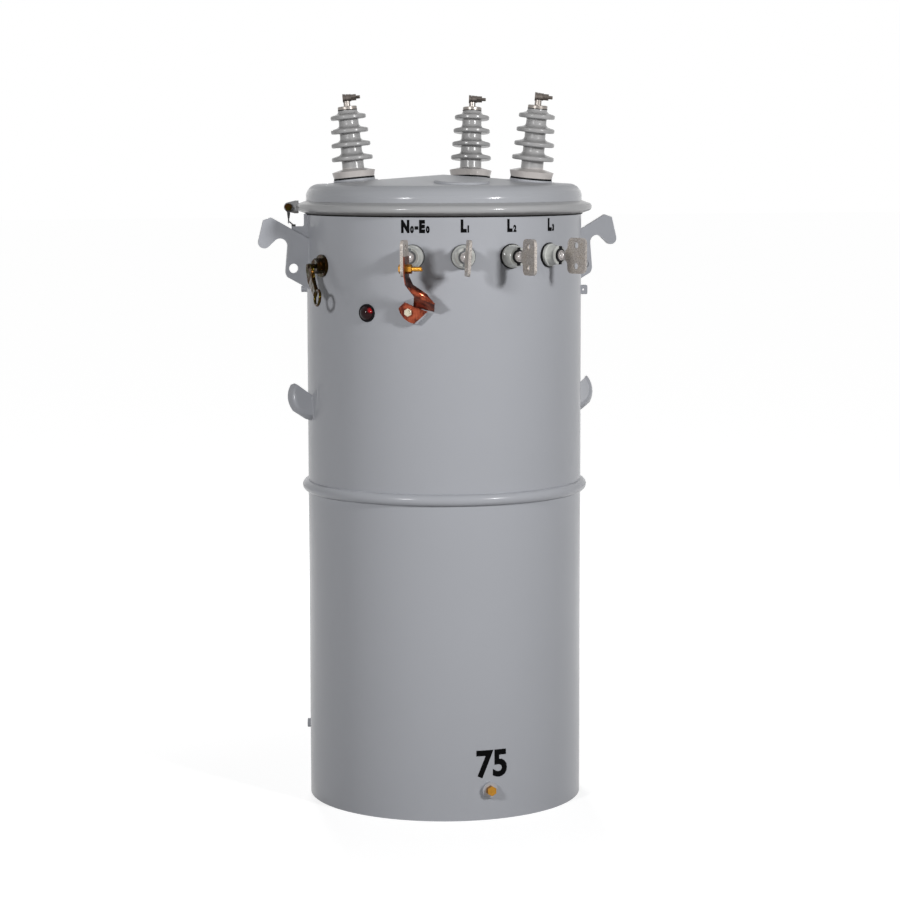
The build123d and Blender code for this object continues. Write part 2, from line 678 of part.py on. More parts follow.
# ---- Signal light -----------------------------------------------------------------------
def make_signal_bezel():
    ring = rod(SIGNAL_BEZEL_R, -3, SIGNAL_BEZEL_THICK)
    return off_tank(on_wall(SIGNAL_AZ, SIGNAL_Z, ring))


def make_signal_lens():
    """Domed red lens on the bezel."""
    rise = SIGNAL_LENS_OUT - SIGNAL_BEZEL_THICK
    radius = (SIGNAL_LENS_R ** 2 + rise ** 2) / (2 * rise)
    dome = Pos(0, 0, SIGNAL_LENS_OUT - radius) * Sphere(radius)
    dome &= rod(SIGNAL_LENS_R, SIGNAL_BEZEL_THICK, SIGNAL_LENS_OUT)
    return on_wall(SIGNAL_AZ, SIGNAL_Z, dome)


# ---- Breaker operating handle -----------------------------------------------------------
def make_breaker_gland():
    """Round flange with two hex nuts, which the shaft turns in."""
    first_top = BREAKER_FLANGE_THICK + GLAND_TALL
    gland = rod(BREAKER_FLANGE_R, -4, BREAKER_FLANGE_THICK)
    gland += hexagon(GLAND_AF, BREAKER_FLANGE_THICK, first_top)
    gland += rod(GLAND_AF / 2 - LOCK_GROOVE, first_top, first_top + LOCK_GROOVE)
    gland += hexagon(GLAND_AF, first_top + LOCK_GROOVE, GLAND_TOP)
    gland -= rod(SHAFT_R + SHAFT_CLEAR, GLAND_TOP - SHAFT_BORE_DEEP, GLAND_TOP + 1)
    return off_tank(on_wall(BREAKER_AZ, BREAKER_Z, gland))


def handle_plate(outline):
    """Flat length of the handle with rounded edges, centred on its own plane."""
    plate = extrude(outline, HANDLE_THICK / 2, both=True)
    rims = plate.edges().group_by(Axis.Z)
    return fillet(rims[0] + rims[-1], HANDLE_ROUND)


def make_breaker_handle():
    """Dog-legged handle with a ring for a hook stick, fixed on the end of its shaft."""
    hub_end = Pos(*HANDLE_HUB_AT) * Circle(HANDLE_HUB_R)
    bend = Pos(*HANDLE_BEND_AT) * Circle(HANDLE_BEND_R)
    hub = handle_plate(make_hull(hub_end.edges() + bend.edges()))
    arm_start = Circle(HANDLE_BEND_R)
    ring_mid = (RING_R + RING_EYE_R) / 2
    arm_end = Pos(ARM_LONG - ring_mid, 0) * Circle(ARM_END_R)
    arm = handle_plate(make_hull(arm_start.edges() + arm_end.edges()))
    arm -= Pos(ARM_LONG, 0, 0) * Cylinder(ring_mid, 2 * HANDLE_THICK)
    arm += Pos(ARM_LONG, 0, 0) * Torus(ring_mid, (RING_R - RING_EYE_R) / 2)
    arm = Pos(*HANDLE_BEND_AT) * Rot(0, 0, ARM_TURN) * Rot(0, -ARM_LIFT, 0) * arm
    shaft_start = GLAND_TOP - SHAFT_BORE_DEEP + FIT
    shaft = rod(SHAFT_R, shaft_start, HANDLE_START + HANDLE_THICK + SHAFT_TIP)
    handle = shaft + Pos(0, 0, HANDLE_MID) * (hub + arm)
    return on_wall(BREAKER_AZ, BREAKER_Z, handle)


# ---- Lifting lugs, cleats and small bosses ----------------------------------------------
def lug_at(out, up):
    """A point of the lifting lug's outline, as shares of its reach and height."""
    return (TANK_R + LUG_REACH * out, LUG_FOOT_Z + LUG_TALL * up)


def lug_outline():
    """Hooked outline of a lifting lug: a straight back, a beak, a notch and a heel."""
    foot, top = lug_at(0, 0), lug_at(0, 0.705)
    shoulder, tip = lug_at(0.996, 0.677), lug_at(0.791, 0.597)
    throat, face = lug_at(0.672, 0.676), lug_at(0.419, 0.603)
    heel, sole = lug_at(0.46, 0.26), lug_at(0.418, 0.165)
    inner = TANK_R - LUG_THICK
    return make_face([
        Polyline(top, lug_at(0.741, 1), lug_at(0.897, 0.963), shoulder),
        ThreePointArc(shoulder, lug_at(0.888, 0.571), tip),
        Line(tip, throat),
        ThreePointArc(throat, lug_at(0.462, 0.676), face),
        Line(face, heel),
        ThreePointArc(heel, lug_at(0.451, 0.207), sole),
        Polyline(sole, foot, (inner, foot[1]), (inner, top[1]), top),
    ])


def make_lifting_lug(azimuth):
    hole = Pos(TANK_R + LUG_HOLE_OUT, LUG_FOOT_Z + LUG_HOLE_UP) * Circle(LUG_HOLE_R)
    return around(azimuth, off_tank(radial_plate(LUG_THICK, lug_outline() - hole)))


def cleat_dish():
    """Round dish about Y whose rim is bent back, from which a cleat is cut."""
    bend = radians(CLEAT_LIP_BEND)
    flat = CLEAT_R - CLEAT_LIP * cos(bend) - CLEAT_THICK / 2 * sin(bend)
    rim = (flat + CLEAT_LIP * cos(bend), CLEAT_LIP * sin(bend))
    path = FilletPolyline((0, 0), (flat, 0), rim, radius=CLEAT_LIP_ROUND)
    return revolve(trace(path, line_width=CLEAT_THICK), Axis.Y)


def make_cleat(side):
    """Flared cleat: a dished plate whose rounded outer edge is bent away from the front."""
    past = 1.5 * CLEAT_R
    outline = make_face(Polyline(
        (-CLEAT_R / 2, -CLEAT_DROP),
        (0, -CLEAT_DROP),
        (CLEAT_R * 0.29, -CLEAT_DROP * 0.88),
        (past, -CLEAT_R * 0.13),
        (past, CLEAT_R * 0.38),
        (CLEAT_R * 0.72, CLEAT_R * 0.56),
        (0, 0),
        (-CLEAT_R / 2, 0),
        close=True,
    ))
    cleat = cleat_dish() & extrude(Plane.XZ * outline, 2 * CLEAT_R, both=True)
    cleat = Rot(0, 0, CLEAT_SWEEP) * Rot(-CLEAT_LEAN, 0, 0) * cleat
    cleat = Rot(0, 0, CLEAT_AZ - 90) * Pos(TANK_R, 0, CLEAT_Z) * cleat
    cleat = off_tank(cleat)
    return cleat if side > 0 else mirror(cleat, about=Plane.YZ)


def make_side_bosses():
    """Tapped boss and holed tab welded on the sides of the tank, and the drain boss."""
    boss = rod(SIDE_BOSS_R, -2, SIDE_BOSS_OUT)
    boss -= rod(SIDE_BOSS_BORE_R, SIDE_BOSS_OUT - SIDE_BOSS_BORE_DEEP, SIDE_BOSS_OUT + 1)
    tab = RectangleRounded(2 * SIDE_TAB_OUT, SIDE_TAB_TALL, SIDE_TAB_CORNER)
    tab -= Pos(SIDE_TAB_HOLE_OUT, 0) * Circle(SIDE_TAB_HOLE_R)
    tab = radial_plate(SIDE_TAB_THICK, Pos(TANK_R, SIDE_TAB_Z) * tab)
    return Compound(children=[
        off_tank(on_wall(SIDE_BOSS_AZ, SIDE_BOSS_Z, boss)),
        off_tank(around(SIDE_TAB_AZ, tab)),
        off_tank(on_wall(DRAIN_AZ, DRAIN_Z, rod(DRAIN_R, -2, DRAIN_OUT))),
    ])


# ---- Bonding tab and lead ---------------------------------------------------------------
def make_bond_tab():
    """Tab behind the left lifting lug: a strip on the wall with a foot for the lead."""
    foot_z = TAB_TOP_Z - TAB_TALL
    shelf_z = TAB_TOP_Z - TAB_SHELF_DROP
    strip_out = TANK_R + TAB_WIDE
    outline = make_face(Polyline(
        (TANK_R - TAB_THICK, TAB_TOP_Z),
        (strip_out, TAB_TOP_Z),
        (strip_out, shelf_z),
        (TANK_R + TAB_REACH, shelf_z),
        (TANK_R + TAB_REACH, shelf_z - TAB_WIDE),
        (strip_out, foot_z),
        (TANK_R - TAB_THICK, foot_z),
        close=True,
    ))
    corner = outline.vertices().sort_by_distance((strip_out, shelf_z))[0]
    outline = fillet(corner, TAB_WIDE / 2)
    return around(TAB_AZ, off_tank(radial_plate(TAB_THICK, outline)))


def make_bonding_lead():
    """Short lead that bonds the clamp band to the tank, from the band bolt to the tab."""
    eye_face = BAND_GAP / 2 + EAR_WALL
    eye_mid = eye_face + LEAD_EYE_THICK / 2
    tail_drop = EAR_END_R + LEAD_EYE_THICK
    ring = Pos(BAND_BOLT_OUT, BAND_MID_Z) * Circle(LEAD_EYE_R)
    tail = Pos(BAND_BOLT_OUT, BAND_MID_Z - tail_drop) * Circle(LEAD_BOOT_R * 0.7)
    eye = Pos(eye_mid, 0, 0) * radial_plate(LEAD_EYE_THICK, make_hull(ring.edges() + tail.edges()))
    eye -= band_bolt_place(Cylinder(BAND_BOLT_R + FIT, 4 * BAND_GAP))
    boot_top = around(BAND_AZ, Pos(eye_mid, -BAND_BOLT_OUT, BAND_MID_Z - tail_drop)).position
    boot_end = boot_top - Vector(0, 0, LEAD_BOOT_LONG)
    boot = loft([Pos(*boot_top) * Circle(LEAD_BOOT_R), Pos(*boot_end) * Circle(LEAD_R * 1.3)])
    plug_out = TANK_R + TAB_REACH - LEAD_PLUG / 2
    plug_z = TAB_TOP_Z - TAB_SHELF_DROP + LEAD_PLUG / 4
    plug_place = around(TAB_AZ, Pos(0, -plug_out, plug_z))
    plug = Box(TAB_THICK, LEAD_PLUG, LEAD_PLUG / 2)
    plug = plug_place * fillet(plug.edges(), LEAD_R / 2)
    end = plug_place.position
    middle = (boot_end + end) * 0.5 + Vector(end.X, end.Y, 0).normalized() * LEAD_SLACK
    path = Spline(boot_end, middle, end, tangents=[Vector(0, 0, -1), (end - middle).normalized()])
    wire = sweep(Plane(boot_end, z_dir=(0, 0, -1)) * Circle(LEAD_R), path)
    return around(BAND_AZ, eye) + boot + wire + plug


# ---- Pole support lugs ------------------------------------------------------------------
def make_support_lug(height):
    """Channel shaped lug welded on the pole side, with an upright slot for the bolt."""
    outside = Rectangle(SUPPORT_WIDE, 2 * SUPPORT_OUT)
    inside = Pos(0, -SUPPORT_WALL) * Rectangle(SUPPORT_WIDE - 2 * SUPPORT_WALL, 2 * SUPPORT_OUT)
    channel = Pos(0, 0, -SUPPORT_TALL / 2) * extrude(outside - inside, SUPPORT_TALL)
    channel = Pos(0, TANK_R, height) * channel
    slot = SlotOverall(SLOT_LONG, SLOT_WIDE, rotation=90)
    cutter = Plane.XZ * slot
    cutter = Pos(0, TANK_R + SUPPORT_OUT + 1, height) * extrude(cutter, 2 * SUPPORT_WALL)
    return off_tank(channel - cutter)


# ---- Lower ground connector -------------------------------------------------------------
def make_ground_pad():
    return off_tank(on_wall(GROUND_AZ, GROUND_Z, rod(GROUND_PAD_R, -3, GROUND_PAD_OUT)))


def make_ground_bolt():
    bolt = hexagon(GROUND_BOLT_AF, GROUND_PAD_OUT, GROUND_PAD_OUT + GROUND_BOLT_TALL)
    return on_wall(GROUND_AZ, GROUND_Z, bolt)


# ---- All pieces -------------------------------------------------------------------------
def make_all():
    nodes = {
        "tank_shell": make_tank_shell(),
        "tank_floor": make_tank_floor(),
        "cover": make_cover(),
        "cover_gasket": make_cover_gasket(),
        "cover_band": make_cover_band(),
        "band_bolt": make_band_bolt(),
        "bond_tab": make_bond_tab(),
        "bonding_lead": make_bonding_lead(),
        "side_bosses": make_side_bosses(),
        "hv_gaskets": make_hv_gaskets(),
        "lv_gaskets": make_lv_gaskets(),
        "strap_boss": make_strap_boss(),
        "ground_strap": make_ground_strap(),
        "strap_bolt_upper": make_strap_bolt_upper(),
        "strap_bolt_lower": make_strap_bolt_lower(),
        "signal_bezel": make_signal_bezel(),
        "signal_lens": make_signal_lens(),
        "breaker_gland": make_breaker_gland(),
        "breaker_handle": make_breaker_handle(),
        "support_lug_lower": make_support_lug(SUPPORT_LOW_Z),
        "support_lug_upper": make_support_lug(SUPPORT_LOW_Z + SUPPORT_PITCH),
        "ground_pad": make_ground_pad(),
        "ground_bolt": make_ground_bolt(),
    }
    for side, azimuth in LUG_AZIMUTHS.items():
        nodes["lifting_lug_" + side] = make_lifting_lug(azimuth)
    for name, side in CLEAT_SIDES.items():
        nodes["cleat_" + name] = make_cleat(side)
    porcelain = hv_place(make_hv_porcelain())
    terminal = hv_place(make_hv_terminal())
    clamp = hv_place(make_hv_clamp())
    for number, azimuth in enumerate(HV_AZIMUTHS, 1):
        nodes[f"hv_porcelain_{number}"] = on_cover(azimuth, porcelain)
        nodes[f"hv_terminal_{number}"] = on_cover(azimuth, terminal)
        facing = Rot(0, 0, CLAMP_AZ - 90 - azimuth)
        nodes[f"hv_clamp_{number}"] = on_cover(azimuth, facing * clamp)
    short_porcelain = make_lv_porcelain()
    for number, azimuth in enumerate(LV_AZIMUTHS):
        spade = make_lv_spade(SPADE_TURNS[number])
        nodes[f"lv_porcelain_{number}"] = on_wall(azimuth, LV_Z, short_porcelain)
        nodes[f"lv_spade_{number}"] = on_wall(azimuth, LV_Z, spade)
    return nodes


os.makedirs("parts", exist_ok=True)
for name, shape in make_all().items():
    export_step(shape, f"parts/{name}.step")
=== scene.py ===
import json
from math import asin, atan2, ceil, cos, degrees, pi, radians, sin

import bmesh
import bpy
from mathutils import Euler, Matrix, Vector


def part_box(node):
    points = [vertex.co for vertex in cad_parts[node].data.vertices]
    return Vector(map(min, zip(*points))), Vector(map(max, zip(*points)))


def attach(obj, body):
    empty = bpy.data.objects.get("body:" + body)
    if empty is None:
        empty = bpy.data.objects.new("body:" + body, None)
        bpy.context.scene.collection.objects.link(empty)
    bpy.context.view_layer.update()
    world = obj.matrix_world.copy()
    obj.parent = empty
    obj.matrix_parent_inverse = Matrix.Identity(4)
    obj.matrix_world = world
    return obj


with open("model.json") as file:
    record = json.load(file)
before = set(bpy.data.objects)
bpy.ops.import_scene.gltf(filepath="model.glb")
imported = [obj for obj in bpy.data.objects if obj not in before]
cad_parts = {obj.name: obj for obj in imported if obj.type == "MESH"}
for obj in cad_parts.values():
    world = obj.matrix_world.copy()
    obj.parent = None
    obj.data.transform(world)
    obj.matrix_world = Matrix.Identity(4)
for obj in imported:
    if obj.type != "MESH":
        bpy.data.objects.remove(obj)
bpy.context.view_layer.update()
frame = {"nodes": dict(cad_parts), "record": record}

# A pole mounted transformer. Lengths are metres and MM turns millimetres into them. The origin
# is on the tank axis at the floor. Azimuths run from the front, -Y, towards the right, +X.
MM = 0.001

# ---- Sizes taken from the frame ---------------------------------------------------------
SKIRT_WALL = 5 * MM                    # from the floor plate's edge to the wall's outside
TANK_R = -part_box("tank_floor")[0].x + SKIRT_WALL
PAINT_LIFT = 0.25 * MM                 # painted marks stand this far off the enamel
WELD_R = 2.4 * MM
RIPPLE = 4 * MM                        # from one ripple of a weld to the next
BODY = "tank"
SIDES = (("left", -1), ("right", 1))
BUSHINGS = (1, 2, 3)

# Seat of a high voltage bushing on the cover, and heights along its tilted axis
SEAT_R = 203 * MM
SEAT_Z = 1379.37 * MM
BUSHING_TILT = 5.5
CAP_Z = 153.8 * MM
CLAMP_Z = 180.3 * MM
CLAMP_AZIMUTH = 74.0


def middle(node):
    low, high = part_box(node)
    return (low + high) / 2


def azimuth_of(point):
    return degrees(atan2(point.x, -point.y))


def wall_place(azimuth, height, aside=0.0, out=0.0):
    """Place on the tank wall: local X runs to the right, Y up and Z straight out."""
    turn = Matrix.Rotation(radians(azimuth), 4, "Z")
    stand = Matrix.Rotation(radians(90), 4, "X")
    return turn @ Matrix.Translation((aside, -TANK_R - out, height)) @ stand


def bushing_place(number, height=0.0, turned_to=None):
    """Place on a high voltage bushing's axis; local Z runs up along it."""
    azimuth = azimuth_of(middle(f"hv_porcelain_{number}"))
    place = Matrix.Rotation(radians(azimuth), 4, "Z") @ Matrix.Translation((0, -SEAT_R, SEAT_Z))
    place = place @ Matrix.Rotation(radians(BUSHING_TILT), 4, "X")
    if turned_to is not None:
        place = place @ Matrix.Rotation(radians(turned_to - 90 - azimuth), 4, "Z")
    return place @ Matrix.Translation((0, 0, height))


def sideways(place):
    """The same place with its local Z turned to where local X pointed."""
    return place @ Matrix.Rotation(radians(90), 4, "Y")


# ---- Shader arithmetic ------------------------------------------------------------------
class Signal:
    """An output socket of a node. Arithmetic on it adds Math nodes."""

    def __init__(self, nodes, socket):
        self.nodes = nodes
        self.socket = socket

    def math(self, operation, *values):
        return self.nodes.node("Math", values, operation=operation)

    def __add__(self, other):
        return self.math("ADD", self, other)

    def __sub__(self, other):
        return self.math("SUBTRACT", self, other)

    def __rsub__(self, other):
        return self.math("SUBTRACT", other, self)

    def __mul__(self, other):
        return self.math("MULTIPLY", self, other)

    __radd__ = __add__
    __rmul__ = __mul__

    def within(self, low, high):
        """Rises smoothly from 0 at low to 1 at high."""
        sockets = {"Value": self, "From Min": low, "From Max": high}
        return self.nodes.node("MapRange", sockets, interpolation_type="SMOOTHSTEP")


class Nodes:
    """A node tree to which nodes are added by one method."""

    def __init__(self, tree):
        self.tree = tree

    def link(self, value, socket):
        """Give a socket a constant or a Signal."""
        if isinstance(value, Signal):
            self.tree.links.new(value.socket, socket)
        else:
            socket.default_value = value

    def node(self, kind, inputs=(), output=0, **settings):
        """Add any node: its settings first, then the values or links of its sockets."""
        made = self.tree.nodes.new("ShaderNode" + kind)
        for key, value in settings.items():
            setattr(made, key, value)
        pairs = inputs.items() if isinstance(inputs, dict) else enumerate(inputs)
        for key, value in pairs:
            self.link(value, made.inputs[key])
        return Signal(self, made.outputs[output])

    def looked_at(self):
        """1 for what the camera sees, by itself or in gloss and glass, and 0 for light."""
        camera, glossy, through = [
            self.node("LightPath", output=f"Is {kind} Ray")
            for kind in ("Camera", "Glossy", "Transmission")]
        return self.node("Math", (camera + glossy + through, 1.0), operation="MINIMUM")


class Finish(Nodes):
    """A material with one Principled shader, built from Signals."""

    def __init__(self, name, color, roughness, metallic=0.0, **fixed):
        self.material = bpy.data.materials.new(name)
        self.material.use_nodes = True
        super().__init__(self.material.node_tree)
        self.shader = self.tree.nodes["Principled BSDF"]
        self.color = color
        self.place = self.node("TexCoord", output="Object")
        self.set("Base Color", (*color, 1.0))
        self.set("Roughness", roughness)
        self.set("Metallic", metallic)
        for key, value in fixed.items():
            self.set(key.replace("_", " ").title(), value)

    def set(self, name, value):
        self.link(value, self.shader.inputs[name])

    def mix(self, share, first, second):
        """Colour between first and second."""
        colors = [c if isinstance(c, Signal) else (*c, 1.0) for c in (first, second)]
        sockets = {0: share, 6: colors[0], 7: colors[1]}
        return self.node("Mix", sockets, output=2, data_type="RGBA")

    def noise(self, scale, detail=2.0, roughness=0.5, stretch=None):
        """Cloudy pattern from 0 to 1, scale in spots a metre; stretch scales X, Y and Z."""
        place = self.place
        if stretch:
            place = self.node("VectorMath", (place, stretch), operation="MULTIPLY")
        sockets = {"Vector": place, "Scale": scale, "Detail": detail, "Roughness": roughness}
        return self.node("TexNoise", sockets)

    def axis(self, letter):
        return self.node("SeparateXYZ", (self.place,), output="XYZ".index(letter))

    def off_axis(self):
        """Distance from the tank axis."""
        flat = self.node("VectorMath", (self.place, (1, 1, 0)), operation="MULTIPLY")
        return self.node("VectorMath", (flat,), output="Value", operation="LENGTH")

    def near(self, spot):
        """Distance from a spot of the object."""
        apart = self.node("VectorMath", (self.place, tuple(spot)), operation="SUBTRACT")
        return self.node("VectorMath", (apart,), output="Value", operation="LENGTH")

    def bump(self, height, depth, strength=1.0):
        sockets = {"Strength": strength, "Distance": depth, "Height": height}
        self.set("Normal", self.node("Bump", sockets))

    def vary(self, pattern, spread):
        """Darken and lighten the base colour by a pattern from 0 to 1."""
        low = [c * (1 - spread) for c in self.color]
        high = [min(c * (1 + spread), 1.0) for c in self.color]
        self.set("Base Color", self.mix(pattern, low, high))


# ---- Finishes ---------------------------------------------------------------------------
def make_enamel():
    """Gloss light gray enamel, sprayed over rolled steel."""
    paint = Finish("gray_enamel", (0.39, 0.40, 0.43), 0.35, coat_weight=0.4)
    paint.set("Specular IOR Level", 0.04)
    paint.set("Coat Roughness", 0.2)
    paint.vary(paint.noise(5, 3), 0.02)
    paint.set("Roughness", paint.noise(18, 2) * 0.1 + 0.3)
    paint.bump(paint.noise(420, 1), 0.05 * MM, 0.12)
    return paint


def make_cover_enamel():
    """Enamel of the cover: glossy skirt with two faint creases run round it, duller top."""
    paint = Finish("cover_enamel", (0.385, 0.395, 0.42), 0.16)
    paint.set("Specular IOR Level", 0.25)
    paint.vary(paint.noise(5, 3), 0.02)
    height = paint.axis("Z")
    low_crease = height.within(1341 * MM, 1344.5 * MM)
    high_crease = height.within(1347.5 * MM, 1351 * MM)
    paint.bump(2 - (low_crease + high_crease), 0.42 * MM)
    top = height.within(1356 * MM, 1364 * MM)
    paint.set("Roughness", top * 0.24 + 0.16)
    return paint


def make_band_enamel():
    """Enamel of the cover band, with painted shade on the underside of its roll: darker and
    brownish there.
    """
    low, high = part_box("cover_band")
    paint = Finish("band_enamel", (0.39, 0.395, 0.41), 0.35, coat_weight=0.4)
    paint.set("Specular IOR Level", 0.04)
    paint.set("Coat Roughness", 0.12)
    # Painted shade: the underside of the roll is painted dark brownish gray, its upper edge
    # wavering.
    shade_edge_wobble = paint.noise(45, 3, stretch=(1, 1, 0.3)) * 2 * MM
    above_painted_shade = (paint.axis("Z") + shade_edge_wobble).within(low.z + 4 * MM, low.z + 11 * MM)
    top = paint.mix(paint.noise(9, 2), (0.375, 0.378, 0.385), (0.40, 0.40, 0.405))
    paint.set("Base Color", paint.mix(above_painted_shade, (0.15, 0.142, 0.135), top))
    return paint


def make_porcelain():
    """Glazed porcelain with faint clouding under a clear glaze."""
    glaze = Finish("gray_porcelain", (0.36, 0.355, 0.355), 0.5, coat_weight=0.6)
    glaze.set("Specular IOR Level", 0.1)
    body = glaze.mix(glaze.noise(60, 3), (0.32, 0.32, 0.325), (0.40, 0.395, 0.39))
    above_foot = glaze.axis("Z").within(1398 * MM, 1408 * MM)
    glaze.set("Base Color", glaze.mix(above_foot, (0.56, 0.525, 0.505), body))
    glaze.set("Coat Roughness", 0.2)
    glaze.bump(glaze.noise(160, 2), 0.05 * MM, 0.2)
    return glaze


def make_glaze_on_wall():
    """Lighter porcelain of the low voltage bushings."""
    glaze = Finish("light_porcelain", (0.50, 0.51, 0.485), 0.45, coat_weight=0.8)
    glaze.set("Specular IOR Level", 0.2)
    glaze.set("Coat Roughness", 0.15)
    glaze.vary(glaze.noise(90, 3), 0.05)
    return glaze


def make_rubber():
    rubber = Finish("black_rubber", (0.005, 0.005, 0.006), 0.6)
    rubber.set("Specular IOR Level", 0.08)
    rubber.bump(rubber.noise(900, 2), 0.05 * MM, 0.4)
    return rubber


def make_wall_gaskets():
    """Cork and rubber rings: gray under the left pair, black under the right."""
    ring = Finish("wall_gaskets", (0.09, 0.09, 0.095), 0.6)
    ring.set("Specular IOR Level", 0.1)
    # Gray under the two left bushings, black under the two right ones.
    towards_right = ring.axis("X").within(-0.02, 0.02)
    ring.set("Base Color", ring.mix(towards_right, (0.14, 0.145, 0.15), (0.006, 0.006, 0.007)))
    ring.bump(ring.noise(700, 2), 0.05 * MM, 0.4)
    return ring


def make_black_paint():
    """Stencil paint, a little uneven where it is thin."""
    paint = Finish("black_paint", (0.002, 0.002, 0.0023), 0.6)
    paint.set("Specular IOR Level", 0.03)
    paint.vary(paint.noise(200, 3), 0.4)
    return paint


def make_zinc():
    """Yellow chromated steel, olive to brown with an uneven sheen, kept near black as a painted
    dark reflection.
    """
    zinc = Finish("chromate_painted_dark", (0.03, 0.02, 0.008), 0.1, metallic=0.95)
    # Painted reflection: both colours are kept near black to stand for dark surroundings mirrored
    # in the metal.
    cloud = zinc.noise(90, 3, 0.6).within(0.38, 0.62)
    zinc.set("Base Color", zinc.mix(cloud, (0.036, 0.013, 0.002), (0.026, 0.021, 0.002)))
    zinc.set("Roughness", zinc.noise(300, 3) * 0.1 + 0.12)
    zinc.bump(zinc.noise(75, 2), 2.5 * MM)
    return zinc


def make_copper():
    """Copper strip, redder where it is bright and brown where it has tarnished, kept dark as a
    painted dark reflection, with painted streaks of reflection along it.
    """
    copper = Finish("copper_strip", (0.20, 0.045, 0.025), 0.3, metallic=1.0)
    # Painted reflection in part: both copper colours are kept dark to stand for dark surroundings
    # mirrored in the metal.
    tarnish = copper.noise(60, 3).within(0.42, 0.6)
    bright = copper.mix(tarnish, (0.27, 0.06, 0.03), (0.085, 0.018, 0.012))
    # Painted reflection: light streaks painted along the strip.
    painted_reflection_streak = copper.noise(400, 2, stretch=(1, 1, 0.1)).within(0.5, 0.75)
    copper.set("Base Color", copper.mix(painted_reflection_streak * 0.5, bright, (0.42, 0.12, 0.06)))
    copper.set("Roughness", copper.noise(500, 2, stretch=(1, 1, 0.15)) * 0.15 + 0.14)
    copper.bump(copper.noise(70, 2), 0.7 * MM)
    return copper


def make_brass(name, color):
    brass = Finish(name, color, 0.26, metallic=1.0)
    brass.vary(brass.noise(160, 3), 0.3)
    brass.set("Roughness", brass.noise(600, 2) * 0.18 + 0.16)
    return brass


def make_lens():
    """Dark red lens with a painted highlight: a brighter red patch painted into its colour."""
    low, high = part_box("signal_lens")
    lens = Finish("red_lens", (0.05, 0.001, 0.002), 0.1, coat_weight=0.1, coat_roughness=0.02)
    lens.set("Specular IOR Level", 0.1)
    # Painted highlight: a bright red spot painted into the lens colour, off its middle.
    patch = (low + high) / 2 + Vector((6.8, -7.3, 5)) * MM
    glow = 1 - lens.near(patch).within(2 * MM, 8.5 * MM)
    lens.set("Base Color", lens.mix(glow, (0.014, 0.0, 0.001), (0.65, 0.008, 0.012)))
    return lens


def make_cap(name, color):
    """Dull tinned casting of the bushing caps and their clamps."""
    cap = Finish(name, color, 0.36, metallic=0.75)
    cap.vary(cap.noise(180, 4, 0.6), 0.5)
    cap.bump(cap.noise(900, 3), 0.06 * MM, 0.5)
    return cap


def make_casting():
    """Tinned bronze casting of the spades, rough from its mould; the hubs are smoother and painted
    lighter, the lighter colour in part a painted highlight.
    """
    cast = Finish("tinned_casting", (0.36, 0.33, 0.30), 0.45, metallic=0.3)
    grain = cast.noise(520, 4, 0.65)
    stain = cast.noise(45, 3).within(0.4, 0.65)
    gray = cast.mix(grain.within(0.4, 0.6), (0.21, 0.19, 0.175), (0.50, 0.46, 0.43))
    plate = cast.mix(stain * 0.3, gray, (0.40, 0.34, 0.27))
    # Hubs smoother and painted lighter; the lighter colour is in part a painted highlight.
    beyond_hub = cast.off_axis().within(351 * MM, 357 * MM)
    cast.set("Base Color", cast.mix(beyond_hub, (0.52, 0.49, 0.48), plate))
    cast.set("Roughness", beyond_hub * 0.3 + cast.noise(240, 3) * 0.2 + 0.1)
    cast.bump(grain, 0.12 * MM, 0.6)
    cast.set("Coat Weight", 0.35)
    cast.set("Coat Roughness", 0.18)
    return cast


def make_plain(name, color, roughness, metallic=0.0):
    plain = Finish(name, color, roughness, metallic)
    plain.vary(plain.noise(90, 2), 0.06)
    return plain


# ---- Modelling helpers ------------------------------------------------------------------
def deselect():
    bpy.ops.object.select_all(action="DESELECT")


def settle(piece, place, name, finish, body=BODY, smooth=30):
    """Name a modelled piece, put it in place in its mesh, and give it body and finish."""
    deselect()
    piece.name = name
    piece.data.name = name
    bpy.context.view_layer.objects.active = piece
    piece.select_set(True)
    piece.matrix_world = place @ piece.matrix_world
    bpy.ops.object.transform_apply(location=True, rotation=True, scale=True)
    if smooth:
        bpy.ops.object.shade_smooth_by_angle(angle=radians(smooth))
    piece.data.materials.clear()
    piece.data.materials.append(finish.material)
    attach(piece, body)
    return piece


def apply_modifiers(piece):
    bpy.context.view_layer.objects.active = piece
    for modifier in list(piece.modifiers):
        bpy.ops.object.modifier_apply(modifier=modifier.name)


def choose_faces(test):
    """Select in edit mode the faces of the active mesh whose centre and normal pass a test."""
    bpy.ops.mesh.select_mode(type="FACE")
    bpy.ops.mesh.select_all(action="DESELECT")
    mesh = bmesh.from_edit_mesh(bpy.context.object.data)
    for face in mesh.faces:
        face.select_set(bool(test(face.calc_center_median(), face.normal)))
    bmesh.update_edit_mesh(bpy.context.object.data)


def thread(radius, pitch, bottom, top):
    """Helical ridge along local Z, on a plain rod of the same radius."""
    deselect()
    depth = pitch * 0.55
    bpy.ops.mesh.primitive_circle_add(
        vertices=3, radius=depth * 0.6, location=(radius, 0, bottom), rotation=(pi / 2, pi / 2, 0))
    ridge = bpy.context.object
    bpy.ops.object.transform_apply()
    screw = ridge.modifiers.new("turns", "SCREW")
    screw.axis = "Z"
    screw.screw_offset = pitch
    screw.iterations = int((top - bottom) / pitch)
    screw.steps = screw.render_steps = 20
    screw.use_normal_calculate = True
    apply_modifiers(ridge)
    return ridge


def bead_run(length, radius=WELD_R, pitch=RIPPLE):
    """Straight weld bead along local Y, laid in overlapping ripples, from 0 to length."""
    deselect()
    bpy.ops.mesh.primitive_uv_sphere_add(segments=10, ring_count=6, radius=radius)
    bead = bpy.context.object
    bead.scale = (1.0, 1.25, 0.9)
    bpy.ops.object.transform_apply()
    row = bead.modifiers.new("ripples", "ARRAY")
    row.count = max(int(length / pitch), 1)
    row.use_relative_offset = False
    row.use_constant_offset = True
    row.constant_offset_displace = (0, length / row.count, 0)
    apply_modifiers(bead)
    return bead


